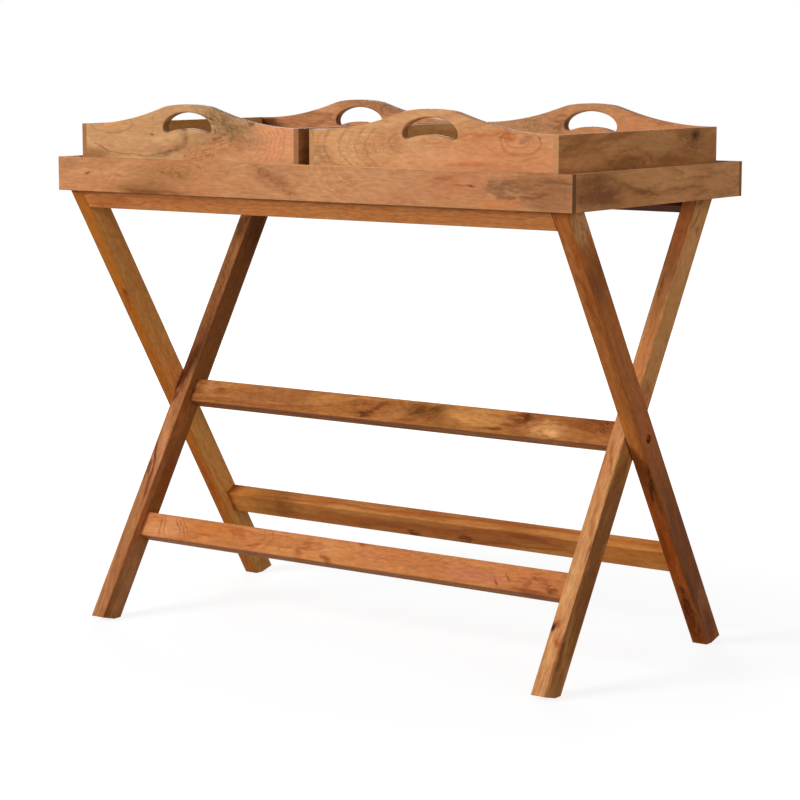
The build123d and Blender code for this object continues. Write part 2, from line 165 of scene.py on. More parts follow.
# Besides stains, some of these marks are painted shade, painted shadows and painted highlights.
def stain(along, across, length, width, colour, strength, turn=0.0, dashes=None, face=None):
    """A stain: its middle and half sizes in millimetres, tone, strength and turn in degrees.

    Dashes (length, width, turn) break it up into strokes. With a face, the local direction in which that
    face looks, it is only on that face. Small stains have clean edges, long ones calm, the others ragged.
    """
    small = min(length / 3.5, width) < SMALL_MARK
    ragged = CLEAN_EDGE if small else CALM_EDGE if length > LONG_MARK else RAGGED_EDGE
    return {"middle": (along, across, 0.0), "half": (length, width, THROUGH_BOARD),
            "turn": (0.0, 0.0, radians(turn)), "colour": colour, "strength": strength,
            "ragged": ragged, "dashes": dashes, "face": face}


def front_stain_and_painted_light(*place_and_tone, **shape):
    """A stain, painted shade or painted light on the front face only."""
    return stain(*place_and_tone, **shape, face=FRONT_FACE)


def side_stain_and_painted_shade(along, rearward, length, depth, colour, strength, turn=0.0):
    """A stain or painted shade on the right face of a leg only."""
    mark = stain(along, rearward, length, depth, colour, strength, face=RIGHT_FACE)
    mark.update(middle=(along, 0.0, -rearward), half=(length, THROUGH_BOARD, depth),
                turn=(0.0, radians(turn), 0.0))
    return mark


def painted_face_shade(colour, strength, face):
    """The tone of one whole face, partly the wood's own and partly painted shade."""
    mark = stain(0.0, 0.0, WHOLE_FACE, WHOLE_FACE, colour, strength, face=face)
    mark.update(half=(WHOLE_FACE, WHOLE_FACE, WHOLE_FACE), ragged=CLEAN_EDGE)
    return mark


MILLIMETRES = (0.001, 0.001, 0.001)
OILED_GLOSS = 0.05
GRAIN_DEPTH = 0.0004

# Lumps of the wood's noises in millimetres along, across and through the board
HEART_BEND = (170.0, 48.0, 48.0)
RING_RIPPLE, RIPPLE_HEIGHT = (30.0, 9.0, 9.0), 1.6
BROAD_BLUSH = (120.0, 30.0, 30.0)
FIBRE = (40.0, 2.0, 2.0)
EDGE_WAVER, WAVER_REACH = (30.0, 14.0, 14.0), (14.0, 9.0, 9.0)
PATCH = (14.0, 4.5, 4.5)
CLOUD = (60.0, 13.0, 13.0)
PORE = (3.2, 1.4, 1.4)

# Darkness of a growth ring by season, from one winter to the next, and how far a stain or painted light and
# shade fades in half sizes
SEASONS = [(0.0, 0.15), (0.1, 0.0), (0.5, 0.12), (0.8, 0.55), (0.92, 1.0), (1.0, 0.15)]
STAIN_AND_LIGHT_FADE = 1.6


def board_wood(piece, origin, along, across, heart, lean, ring, seed, tones, contrast=0.5, wander=8.0,
               mottle=1.0, lines=(), stains=(), end_tone=None):
    """Solid hardwood for one board, so that its figure, edges and end grain belong to one piece of a tree.

    Local millimetres run along the grain, across the face and through the board, from the origin.
    Growth rings are shells round the heart line: ring number = distance from the heart / ring width, where
    the heart line passes at heart (across, through), leans by lean degrees, and wanders by slow noise.
    The tones are pale early wood, its warm bands, its blush and dark late wood. Contrast is the strength of
    the late wood, mottle that of the clouds and pores. Lines and stains are the marks of this board, and
    some stains are painted light and shade instead.
    """
    pale, warm, blush, deep = tones
    material, shader, start = new_finish(piece + "_wood")
    place = start.node("ShaderNodeTexCoord", {}, {}, "Object")
    facing = start.node("ShaderNodeTexCoord", {}, {}, "Normal")
    grain = Vector(along)
    axes = Matrix((grain, Vector(across), grain.cross(Vector(across)))).transposed()
    local = placed(place, origin, MILLIMETRES, axes.to_euler())

    # Growth rings round a wandering heart line
    bent = nudged(local, HEART_BEND, seed, 2.0, (0.0, 4 * wander, 4 * wander))
    tilt = (0.0, radians(lean[1]), radians(lean[0]))
    from_heart = placed(bent, (0.0, *heart), (1.0, 1.0, 1.0), tilt)
    radial = from_heart.vectors("MULTIPLY", from_heart, (0.0, 1.0, 1.0))
    ripple = grained(local, RING_RIPPLE, seed + 1)
    number = (length_of(radial) + RIPPLE_HEIGHT * ripple) / ring
    year = number.maths("FLOOR", number)
    each_year = {"W": year + seed * 3.17}
    vigour = year.node("ShaderNodeTexWhiteNoise", {"noise_dimensions": "1D"}, each_year, "Value")
    season = number.maths("FRACT", number)
    late = season.node("ShaderNodeValToRGB", {"stops": SEASONS}, {"Fac": season})
    late = late * between(vigour, 0.25, 1.0)
    banding = {"W": number * 0.8 + seed * 11.3, "Scale": 1.0, "Detail": 3.0, "Roughness": 0.6}
    bands = number.node("ShaderNodeTexNoise", {"noise_dimensions": "1D"}, banding)

    # Colour: warm bands, broad blush, dark late wood and streaks along the fibres
    colour = tinted(tone(*pale), between(bands, 0.36, 0.66), tone(*warm))
    broad = grained(local, BROAD_BLUSH, seed + 2, 3.0)
    colour = tinted(colour, between(broad, 0.42, 0.66) * 0.8, tone(*blush))
    colour = tinted(colour, late * contrast, tone(*deep))
    fibres = grained(local, FIBRE, seed + 3, 4.0)
    colour = tinted(colour, between(fibres, 0.45, 0.8) * 0.3, tone(*deep))

    # Stains and knots that this board has, and painted light and shade, cloudy and with wavering edges
    strayed = nudged(local, EDGE_WAVER, seed + 5, 1.0, WAVER_REACH)
    patchy = grained(local, PATCH, seed + 6, 5.0)
    cloudy = grained(local, CLOUD, seed + 9, 5.0)
    for mark in stains:
        spot = placed(strayed, mark["middle"], mark["half"], mark["turn"])
        fall = between(length_of(spot), STAIN_AND_LIGHT_FADE, 0.0)
        lumps = cloudy if mark["half"][0] > LONG_MARK else patchy
        mask = between(fall * (1.0 + mark["ragged"] * (lumps - 0.5)), 0.0, 1.0) * mark["strength"]
        if mark["dashes"]:
            length, width, slant = mark["dashes"]
            slanted = placed(strayed, (0.0, 0.0, 0.0), (1.0, 1.0, 1.0), (0.0, 0.0, radians(slant)))
            mask = mask * between(grained(slanted, (length, width, width), seed + 8, 3.0), 0.46, 0.62)
        if mark["face"]:
            looks = facing.vectors("DOT_PRODUCT", facing, axes @ Vector(mark["face"]), "Value")
            mask = mask * between(looks, 0.5, 0.9)
        colour = tinted(colour, mask, tone(*mark["colour"]))

    # Growth lines that this board has, on parts of ovals, crisp on one side and soft on the other
    for line in lines:
        spot = placed(strayed, line["middle"], line["half"], line["turn"])
        radius = length_of(spot)
        steepness = length_of(spot.vectors("DIVIDE", spot, line["half"])) / radius
        outside = (radius - 1.0) / steepness
        side_on = spot.vectors("DOT_PRODUCT", spot, line["towards"], "Value") / radius
        window = between(side_on, line["limit"] - 0.3, line["limit"] + 0.3)
        crisp, soft = 0.4 * abs(line["thick"]) + 0.6, abs(line["thick"])
        inward, outward = (crisp, soft) if line["thick"] > 0.0 else (soft, crisp)
        inner = between(outside, -inward, 0.0)
        outer = between(outside, outward, 0.0)
        strength = line["strength"] * between(patchy, 0.25, 0.6, 1.0, 0.4)
        colour = tinted(colour, inner * outer * window * strength, tone(*line["colour"]))

    # Light and dark clouds, and fine open pores, closer together in the late wood
    clouds = grained(bent, PATCH, seed + 7, 5.0)
    specks = grained(strayed, PORE, seed + 4, 2.0)
    shade = 1.0 + mottle * (0.6 * (clouds - 0.5) + 0.3 * (specks - 0.5))
    colour = shade.node("ShaderNodeVectorMath", {"operation": "SCALE"}, {0: colour, "Scale": shade})
    pores = between(specks + 0.08 * late, 0.58, 0.76)
    colour = tinted(colour, pores * 0.12 * mottle, tone(*[0.8 * level for level in deep]))

    # End grain drinks more oil, so it is darker
    end_on = facing.vectors("DOT_PRODUCT", facing, along, "Value")
    end_grain = between(end_on.maths("ABSOLUTE", end_on), 0.6, 0.9)
    colour = tinted(colour, end_grain * 0.65, tone(*(end_tone or [0.7 * level for level in deep])))

    roughness = 0.48 + 0.12 * fibres + 0.15 * pores
    height = 0.5 * fibres - 0.8 * pores - 0.3 * late
    bump = height.node("ShaderNodeBump", {}, {"Height": height, "Strength": 0.3, "Distance": GRAIN_DEPTH})
    feed(shader, {"Base Color": colour, "Roughness": roughness, "Normal": bump})
    shader.inputs["Specular IOR Level"].default_value = OILED_GLOSS
    dress(piece, material)


LEG_TILT = radians(32.0)
OUTER_ALONG = (0.0, -sin(LEG_TILT), cos(LEG_TILT))
LEFTWARD = (-1.0, 0.0, 0.0)
PIVOT_HEIGHT = frame["record"]["behaviour"]["joints"][0]["pos_m"][2]


def stand_wood(piece, *directions, **figure):
    """Wood of a stand piece, with its figure placed from the middle of the piece at the pivot's height."""
    low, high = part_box(piece)
    board_wood(piece, ((low[0] + high[0]) / 2, 0.0, PIVOT_HEIGHT), *directions, **figure)


stand_wood(
    "outer_leg_left", OUTER_ALONG, LEFTWARD, heart=(60, -50), lean=(1.0, 0.5), ring=9.0, seed=1,
    tones=((255, 184, 106), (238, 160, 80), (244, 170, 93), (190, 116, 54)), contrast=0.25, mottle=1.4,
    stains=[
        # The front face's dark tone against the pale sides is partly the wood's own and partly painted
        # shade.
        painted_face_shade((178, 99, 28), 0.92, FRONT_FACE),
        front_stain_and_painted_light(290, 0, 90, 14, (190, 114, 40), 0.7),
        front_stain_and_painted_light(120, 4, 100, 5, (196, 116, 34), 0.6),
        front_stain_and_painted_light(-190, 2, 60, 5, (166, 76, 18), 0.7),
        front_stain_and_painted_light(-375, -2, 30, 8, (166, 104, 50), 0.6),
        front_stain_and_painted_light(120, 2, 120, 10, (140, 74, 18), 0.6, dashes=(30, 1.6, 0)),
        front_stain_and_painted_light(215, -7, 9, 5, (124, 44, 18), 0.9),
        front_stain_and_painted_light(200, -2, 24, 5, (160, 78, 24), 0.6, turn=-14),
        side_stain_and_painted_shade(240, 0, 150, 40, (226, 154, 80), 0.55),
        side_stain_and_painted_shade(-130, -2, 80, 14, (255, 182, 100), 0.5),
        side_stain_and_painted_shade(214, -12, 8, 8, (232, 140, 84), 0.6),
        side_stain_and_painted_shade(60, -4, 50, 16, (244, 152, 76), 0.6),
        side_stain_and_painted_shade(-390, 4, 26, 20, (214, 140, 78), 0.7),
    ])
stand_wood(
    "outer_leg_right", OUTER_ALONG, LEFTWARD, heart=(40, -60), lean=(1.2, 0.8), ring=8.0, seed=2,
    tones=((196, 121, 61), (172, 94, 39), (188, 111, 51), (118, 58, 26)), contrast=0.35, mottle=1.4,
    stains=[
        # The darker lower front is partly the wood's own tone and partly painted shadow of the inner leg.
        front_stain_and_painted_light(-230, 0, 230, 20, (160, 72, 14), 0.9),
        front_stain_and_painted_light(-350, 0, 40, 12, (110, 46, 16), 0.7),
        front_stain_and_painted_light(-312, 0, 26, 9, (82, 32, 8), 0.8),
        front_stain_and_painted_light(-282, 0, 9, 6, (74, 30, 8), 0.8),
        front_stain_and_painted_light(-296, 8, 9, 4, (166, 92, 34), 0.7),
        front_stain_and_painted_light(-258, 0, 22, 9, (166, 84, 34), 0.7, turn=-10),
        front_stain_and_painted_light(-190, 5, 50, 5, (120, 52, 16), 0.6, turn=-5),
        front_stain_and_painted_light(-150, -4, 50, 5, (158, 78, 28), 0.6, turn=-8),
        front_stain_and_painted_light(-84, -3, 30, 4, (88, 38, 10), 0.8, turn=-14),
        front_stain_and_painted_light(-52, -9, 24, 3, (90, 38, 10), 0.7),
        front_stain_and_painted_light(-30, 5, 40, 8, (172, 92, 40), 0.7),
        front_stain_and_painted_light(30, 2, 50, 12, (210, 128, 60), 0.6),
        front_stain_and_painted_light(240, -4, 60, 6, (150, 76, 30), 0.6),
        front_stain_and_painted_light(290, 0, 24, 3, (140, 74, 30), 0.6, turn=16),
        front_stain_and_painted_light(330, -2, 40, 5, (160, 76, 30), 0.6, turn=-12),
        front_stain_and_painted_light(335, 4, 50, 6, (206, 130, 74), 0.6),
        front_stain_and_painted_light(388, 2, 9, 7, (190, 98, 50), 0.5),
        # The darker lower right face is partly the wood's own tone and partly painted shade.
        side_stain_and_painted_shade(-230, 0, 200, 40, (126, 71, 39), 0.88),
        side_stain_and_painted_shade(-315, 8, 24, 12, (168, 112, 70), 0.7),
        side_stain_and_painted_shade(-370, 4, 24, 14, (120, 66, 36), 0.7),
        side_stain_and_painted_shade(-300, -14, 60, 6, (112, 52, 22), 0.7),
        side_stain_and_painted_shade(-20, 4, 36, 16, (174, 100, 60), 0.7),
        side_stain_and_painted_shade(20, -4, 30, 12, (192, 106, 64), 0.7),
        side_stain_and_painted_shade(110, 6, 90, 14, (184, 110, 62), 0.7),
        side_stain_and_painted_shade(225, 8, 20, 8, (176, 104, 44), 0.6),
        side_stain_and_painted_shade(285, 0, 46, 30, (140, 78, 38), 0.8),
        side_stain_and_painted_shade(378, 0, 34, 22, (204, 150, 98), 0.9),
    ])


# Front top rail and rear lower stretcher: sawn bars that are dowelled between the outer legs.
# The rail is flush with the legs and cut level on top, where the large tray rests on it.
LENGTHWISE = (1.0, 0.0, 0.0)
stand_wood(
    "front_top_rail", LENGTHWISE, OUTER_ALONG, heart=(470, -60), lean=(0.6, 0.6), ring=7.0, seed=3,
    tones=((216, 143, 84), (204, 124, 65), (210, 132, 74), (160, 88, 43)), contrast=0.25, mottle=1.5,
    stains=[
        stain(-380, 392, 50, 18, (180, 94, 45), 0.6),
        stain(150, 392, 90, 10, (200, 116, 59), 0.5, dashes=(14, 2.2, 50)),
        stain(-250, 398, 100, 8, (188, 108, 52), 0.5),
    ])
stand_wood(
    "rear_lower_stretcher", LENGTHWISE, OUTER_ALONG, heart=(-190, -60), lean=(0.8, 0.6), ring=8.0, seed=4,
    tones=((218, 148, 79), (193, 114, 55), (185, 108, 52), (128, 68, 30)),
    stains=[
        stain(-360, -240, 110, 34, (214, 135, 58), 0.65),
        stain(350, -240, 110, 34, (222, 141, 65), 0.65),
        stain(0, -240, 190, 26, (168, 92, 46), 0.55),
        stain(-310, -238, 22, 24, (154, 90, 44), 0.6, turn=70),
        stain(-50, -252, 16, 7, (76, 36, 14), 0.75),
        stain(52, -250, 16, 8, (88, 43, 18), 0.7),
        stain(190, -230, 60, 8, (148, 76, 36), 0.6, turn=-8),
        stain(-130, -246, 70, 6, (148, 83, 42), 0.6, turn=6),
    ])


# Inner legs: bars like the outer ones, whose tops lean to the rear. They turn inside the outer legs, and
# the rear rail, the middle stretcher and the front stretcher are dowelled between them.
INNER_ALONG = (0.0, sin(LEG_TILT), cos(LEG_TILT))
stand_wood(
    "inner_leg_left", INNER_ALONG, LEFTWARD, heart=(50, -50), lean=(1.0, 0.8), ring=8.0, seed=5,
    tones=((192, 132, 85), (171, 108, 64), (167, 102, 59), (108, 59, 29)), contrast=0.35, mottle=1.5,
    stains=[
        # The right face's darker tone is partly the wood's own and partly painted shade.
        painted_face_shade((160, 97, 47), 0.95, RIGHT_FACE),
        side_stain_and_painted_shade(-330, 4, 90, 20, (202, 138, 87), 0.9),
        side_stain_and_painted_shade(-150, 4, 60, 14, (164, 86, 38), 0.8),
        side_stain_and_painted_shade(-210, -14, 160, 7, (200, 124, 72), 0.8),
        side_stain_and_painted_shade(-60, -6, 50, 12, (196, 116, 62), 0.8),
        side_stain_and_painted_shade(300, 4, 50, 18, (104, 54, 22), 0.7),
        # The darker upper front is partly the wood's own tone and partly painted shade under the tray.
        front_stain_and_painted_light(240, 4, 220, 40, (132, 80, 40), 0.65),
        front_stain_and_painted_light(-180, -3, 30, 2.5, (116, 48, 16), 0.9, turn=6),
        front_stain_and_painted_light(-150, -1, 24, 2.5, (124, 54, 18), 0.8, turn=10),
        front_stain_and_painted_light(-120, 5, 32, 2.5, (108, 42, 16), 0.9, turn=9),
        front_stain_and_painted_light(-330, -5, 30, 2, (140, 82, 46), 0.6, turn=14),
        front_stain_and_painted_light(-152, 9, 22, 5, (112, 66, 36), 0.8),
        front_stain_and_painted_light(-110, -6, 60, 5, (214, 142, 98), 0.6, turn=8),
        front_stain_and_painted_light(-230, 6, 50, 5, (168, 112, 64), 0.6),
        front_stain_and_painted_light(-12, 8, 22, 5, (104, 46, 20), 0.85),
        front_stain_and_painted_light(4, 4, 24, 10, (124, 64, 30), 0.7),
        front_stain_and_painted_light(150, 2, 60, 8, (150, 95, 50), 0.6),
        front_stain_and_painted_light(160, 0, 150, 12, (90, 50, 22), 0.6, dashes=(12, 2, 24)),
        front_stain_and_painted_light(298, 2, 26, 12, (92, 52, 22), 0.8),
    ])
stand_wood(
    "inner_leg_right", INNER_ALONG, LEFTWARD, heart=(50, -50), lean=(1.0, 0.8), ring=8.0, seed=6,
    tones=((224, 161, 104), (206, 137, 82), (206, 134, 80), (142, 79, 39)), contrast=0.35, mottle=1.5,
    stains=[
        # The right face's tone is partly the wood's own and partly painted shade.
        painted_face_shade((219, 153, 89), 0.9, RIGHT_FACE),
        side_stain_and_painted_shade(-190, 0, 230, 40, (146, 88, 40), 0.97),
        side_stain_and_painted_shade(-240, 8, 70, 10, (142, 82, 34), 0.7),
        side_stain_and_painted_shade(-350, -14, 40, 6, (128, 66, 24), 0.7),
        side_stain_and_painted_shade(-90, 2, 60, 16, (158, 98, 50), 0.6),
        side_stain_and_painted_shade(66, -2, 24, 22, (196, 112, 60), 0.8),
        side_stain_and_painted_shade(300, 0, 60, 14, (244, 172, 114), 0.5),
        side_stain_and_painted_shade(341, 4, 8, 4, (160, 100, 52), 0.8),
        side_stain_and_painted_shade(352, -10, 26, 2.4, (164, 98, 50), 0.7, turn=20),
        side_stain_and_painted_shade(388, -8, 16, 5, (120, 66, 30), 0.7, turn=30),
        front_stain_and_painted_light(-326, -4, 8.9, 4.5, (172, 84, 38), 1.0, turn=40),
        front_stain_and_painted_light(-313, 4, 8.9, 4.5, (160, 74, 32), 1.0, turn=40),
        front_stain_and_painted_light(-303, 4, 8.5, 6, (150, 62, 24), 0.85, turn=-20),
        front_stain_and_painted_light(-306, 10, 8.9, 4.5, (70, 24, 8), 0.97),
        front_stain_and_painted_light(-360, -11, 60, 2.4, (140, 76, 38), 0.7),
        front_stain_and_painted_light(-345, 3, 40, 6, (240, 178, 116), 0.7),
        front_stain_and_painted_light(-250, 2, 50, 8, (240, 180, 120), 0.6),
        front_stain_and_painted_light(-130, -2, 50, 3, (176, 108, 60), 0.7, turn=9),
        front_stain_and_painted_light(-45, -1, 40, 3, (168, 96, 50), 0.7, turn=12),
        front_stain_and_painted_light(-190, -10, 20, 2, (130, 70, 34), 0.7),
        front_stain_and_painted_light(150, 0, 70, 10, (200, 126, 70), 0.7),
        front_stain_and_painted_light(232, 5, 20, 4, (170, 86, 42), 0.8),
        front_stain_and_painted_light(245, -5, 22, 6, (230, 154, 100), 0.6),
        # Painted light: the upper front is made paler where the tray's shadow falls on it.
        front_stain_and_painted_light(320, 0, 60, 20, (252, 155, 88), 0.9),
    ])


# Rear rail, middle and front stretchers: sawn bars between the inner legs. The rail carries the tray's
# rear, the middle stretcher lies at the pivot and the front one near the feet.
def growth_line(along, across, length, width, colour, strength, thick, facing=-90.0, spread=100.0,
                turn=0.0):
    """A growth line on an oval with these half sizes, on its part within spread degrees of facing.

    It is crisp on the inside of the oval and fades out over its thickness, in millimetres, on the outside;
    with a negative thickness it is the other way round.
    """
    towards = (cos(radians(facing)), sin(radians(facing)), 0.0)
    return {"middle": (along, across, 0.0), "half": (length, width, THROUGH_BOARD),
            "turn": (0.0, 0.0, radians(turn)), "colour": colour, "strength": strength,
            "thick": thick, "towards": towards, "limit": cos(radians(spread))}


stand_wood(
    # The rear rail's very dark tones are painted shade: it lies in the tray's shadow.
    "rear_top_rail", LENGTHWISE, INNER_ALONG, heart=(470, -60), lean=(0.6, 0.6), ring=7.0, seed=7,
    tones=((120, 70, 33), (105, 57, 25), (109, 59, 26), (78, 38, 15)))
stand_wood(
    "middle_stretcher", LENGTHWISE, INNER_ALONG, heart=(40, -60), lean=(0.8, 1.6), ring=8.0, seed=8,
    tones=((196, 128, 68), (174, 106, 52), (174, 106, 56), (106, 55, 22)), mottle=1.7,
    stains=[
        stain(-390, 6, 24, 20, (115, 64, 28), 0.7),
        stain(-365, 6, 20, 9, (197, 134, 79), 0.6),
        stain(-340, 1, 16, 8, (134, 76, 34), 0.8),
        stain(-240, 4, 90, 20, (158, 95, 55), 0.6),
        stain(-190, -3, 24, 13, (145, 80, 47), 0.6, dashes=(10, 2.4, -50)),
        stain(-130, 0, 60, 18, (191, 126, 65), 0.6),
        stain(-50, -11, 20, 6, (104, 54, 18), 0.95, turn=6),
        stain(-28, 2, 24, 4, (115, 62, 24), 0.85, turn=34),
        stain(15, 2, 24, 16, (185, 124, 65), 0.6),
        stain(75, 4, 52, 14, (135, 82, 33), 0.7, turn=6),
        stain(50, 2, 14, 5, (118, 66, 22), 0.9, turn=16),
        stain(84, 9, 16, 6, (112, 60, 18), 0.9, turn=12),
        stain(72, 3, 48, 14, (100, 56, 22), 0.75, dashes=(8, 2.6, 30)),
        stain(112, 10, 22, 7, (176, 120, 51), 0.6),
        stain(35, -12, 20, 5, (145, 76, 35), 0.6),
        stain(158, 3, 62, 18, (216, 150, 84), 0.85),
        stain(188, -13, 26, 3, (106, 54, 18), 0.8),
        stain(218, -6, 26, 8, (141, 80, 33), 0.8, turn=14),
        stain(238, 9, 22, 11, (119, 60, 18), 0.85),
        stain(243, 10, 7, 10, (104, 48, 12), 0.9),
        stain(282, -4, 36, 16, (214, 151, 91), 0.9),
        stain(290, -12, 20, 8, (231, 170, 114), 0.8),
        stain(360, 4, 42, 18, (155, 86, 39), 0.8),
        stain(370, 8, 30, 12, (100, 48, 16), 0.7, dashes=(14, 3.0, -14)),
    ])
stand_wood(
    "front_lower_stretcher", LENGTHWISE, INNER_ALONG, heart=(-240, -60), lean=(0.0, 3.0), ring=9.0, seed=9,
    tones=((216, 142, 83), (208, 128, 70), (212, 134, 76), (166, 93, 47)), mottle=1.3,
    lines=[
        *(growth_line(tip - 40, -233, 40, 26, (168, 93, 47), 0.75, thick=3.5, facing=-20, spread=60)
          for tip in (-154, -140, -112)),
    ],
    stains=[
        stain(-355, -240, 50, 24, (220, 148, 98), 0.7),
        *(stain(along, -237, 25, 1.7, (172, 97, 49), 0.7, turn=slant)
          for along, slant in ((-364, -74), (-356, -72), (-327, -54), (-319, -52), (-311, -50))),
        stain(-250, -232, 60, 16, (204, 120, 57), 0.7),
        stain(-268, -242, 18, 2, (166, 91, 43), 0.7),
        stain(-206, -231, 26, 10, (184, 103, 49), 0.8, turn=-20),
        stain(-172, -249, 20, 3, (170, 92, 46), 0.7, turn=20),
        stain(-75, -242, 20, 10, (176, 97, 48), 0.8, turn=60),
        stain(-30, -236, 14, 12, (216, 150, 92), 0.8),
        stain(-30, -253, 14, 4, (158, 86, 40), 0.85, turn=-20),
        stain(31, -222, 8.5, 5, (160, 86, 47), 0.85),
        stain(60, -238, 26, 12, (212, 130, 86), 0.7),
        stain(150, -238, 130, 18, (178, 103, 60), 0.6, dashes=(16, 2.4, 24)),
        stain(230, -244, 80, 12, (208, 124, 88), 0.7),
        stain(279, -248, 8.5, 2.6, (152, 79, 38), 0.8, turn=-55),
        stain(298, -241, 8.5, 2.6, (156, 83, 42), 0.8, turn=-55),
        stain(345, -242, 40, 16, (190, 109, 63), 0.7),
        stain(335, -244, 24, 5, (164, 88, 48), 0.7, turn=50),
        stain(350, -236, 26, 5, (170, 94, 52), 0.6, turn=-30),
        stain(374, -248, 16, 6, (132, 68, 30), 0.9, turn=-20),
        stain(340, -256, 60, 4, (136, 68, 32), 0.7),
    ])


# Dowels: short round pegs of bare beech, cut from rod. Each is glued half into the end of a rail or
# stretcher and half into a leg.
for side, legward, seed in (("outer", OUTER_ALONG, 40), ("inner", INNER_ALONG, 41)):
    stand_wood(
        f"{side}_frame_dowels", LENGTHWISE, legward, heart=(30, -30), lean=(0.0, 0.0), ring=3.0, seed=seed,
        tones=((214, 178, 132), (206, 166, 118), (208, 168, 120), (176, 130, 86)), contrast=0.3)


# Pivot bolts, washers and inserts: a browned steel bolt passes through each outer leg and a thin dark nylon
# washer, and screws into a brass insert in the inner leg.
RUBBED_PATCH = (3.0, 3.0, 3.0)
TOOL_MARK, TOOL_MARK_DEPTH = (0.4, 4.0, 4.0), 0.0001


def turned_part(piece, colour, worn, metallic, roughness, seed):
    """A small turned part: its colour, the colour where it is rubbed, and fine marks of the tool."""
    material, shader, start = new_finish(piece + "_finish")
    place = start.node("ShaderNodeTexCoord", {}, {}, "Object")
    local = placed(place, (0.0, 0.0, 0.0), MILLIMETRES)
    rubbed = between(grained(local, RUBBED_PATCH, seed, 4.0), 0.45, 0.7)
    tooled = grained(local, TOOL_MARK, seed + 1, 3.0)
    finish = tinted(tone(*colour), rubbed * 0.7, tone(*worn))
    dullness = roughness + 0.2 * tooled - 0.1 * rubbed
    marks = {"Height": tooled, "Strength": 0.2, "Distance": TOOL_MARK_DEPTH}
    bump = tooled.node("ShaderNodeBump", {}, marks)
    feed(shader, {"Base Color": finish, "Roughness": dullness, "Normal": bump})
    shader.inputs["Metallic"].default_value = metallic
    dress(piece, material)


for side, seed in (("left", 50), ("right", 51)):
    turned_part(
        f"pivot_bolt_{side}", (62, 46, 36), worn=(112, 92, 76), metallic=1.0, roughness=0.45, seed=seed)
turned_part(
    "pivot_spacer_washers", (38, 33, 29), worn=(52, 46, 41), metallic=0.0, roughness=0.5, seed=52)
turned_part(
    "pivot_threaded_inserts", (196, 154, 84), worn=(222, 186, 116), metallic=1.0, roughness=0.35, seed=53)


# Large tray: four thin boards round a floor panel. The long boards cover the ends of the short ones, and
# panel pins hold the corners.
UPWARD = (0.0, 0.0, 1.0)
DEPTHWISE = (0.0, 1.0, 0.0)
TOP_FACE = (0.0, 1.0, 0.0)


def tray_wood(piece, *directions, **figure):
    """Wood of a tray piece, with its figure placed from the ground under the middle of the piece."""
    low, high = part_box(piece)
    board_wood(piece, ((low[0] + high[0]) / 2, (low[1] + high[1]) / 2, 0.0), *directions, **figure)


def knot(along, across, size, heart):
    """A small knot: a dark heart of this half size in a brown halo."""
    halo = stain(along, across, 2.8 * size, 2.0 * size, (124, 74, 38), 0.5)
    return [halo, stain(along, across, 1.3 * size, size, heart, 0.9)]


def panel_pins(piece, seed):
    """Thin bright steel pins."""
    turned_part(piece, (150, 150, 152), worn=(190, 190, 192), metallic=1.0, roughness=0.35, seed=seed)


tray_wood(
    "large_tray_front_board", LENGTHWISE, UPWARD, heart=(705, -90), lean=(0.4, -4.0), ring=7.0, seed=10,
    tones=((205, 146, 98), (193, 130, 84), (197, 128, 84), (144, 87, 48)), mottle=1.1,
    end_tone=(66, 37, 19),
    lines=[
        *(growth_line(120, 742, reach, 0.7 * reach, (217, 164, 118), 0.7, thick=3.0, facing=215, spread=42)
          for reach in (34, 52, 66, 82, 92)),
        *(growth_line(-225, 716, reach, 0.3 * reach, (138, 91, 48), 0.5, thick=3.0, facing=100, spread=100)
          for reach in (28, 48)),
    ],
    stains=[
        stain(-445, 728, 30, 12, (169, 118, 76), 0.7),
        stain(-405, 709, 5.5, 2.2, (126, 65, 33), 0.95, turn=14),
        stain(-338, 707, 20, 1.6, (158, 98, 57), 0.5),
        stain(-250, 712, 60, 18, (169, 116, 70), 0.7),
        stain(-230, 716, 36, 12, (122, 81, 42), 0.6, dashes=(12, 2.0, 10)),
        stain(-216, 711, 12, 4, (134, 93, 53), 0.7, turn=-20),
        stain(-285, 690, 66, 12, (148, 97, 53), 0.8),
        stain(-268, 684, 76, 5, (130, 77, 35), 0.85),
        stain(-35, 722, 26, 14, (177, 126, 87), 0.7, turn=-30),
        stain(-42, 711, 60, 10, (167, 108, 69), 0.7, turn=-28),
        stain(-42, 711, 60, 11, (132, 77, 46), 0.65, turn=-28, dashes=(4, 2.2, -50)),
        stain(-62, 706, 34, 5, (175, 114, 74), 0.6, turn=-24),
        stain(160, 712, 100, 30, (209, 148, 104), 0.5),
        stain(95, 712, 18, 9, (181, 116, 76), 0.6, turn=-30),
        stain(285, 712, 75, 26, (197, 120, 80), 0.7),
        stain(262, 722, 18, 5, (173, 98, 58), 0.6),
        stain(292, 712, 24, 2, (158, 87, 50), 0.6),
        stain(303, 712, 5.5, 2.4, (132, 67, 41), 0.95),
        stain(350, 690, 44, 9, (205, 128, 78), 0.8),
        stain(355, 710, 34, 13, (146, 104, 70), 0.9),
        stain(425, 712, 66, 22, (162, 108, 68), 0.9),
        stain(430, 690, 50, 9, (160, 110, 70), 0.8),
        stain(382, 698, 34, 3, (138, 87, 49), 0.7),
        stain(412, 703, 26, 3, (134, 83, 49), 0.8, turn=8),
        stain(440, 722, 26, 3, (138, 89, 55), 0.7, turn=-4),
        stain(400, 716, 60, 16, (130, 87, 54), 0.6, dashes=(22, 2.2, 6)),
        # Painted highlight: a paler top edge stands in for a glint along it.
        stain(90, 733, 240, 60, (255, 204, 146), 0.85, face=TOP_FACE),
    ])
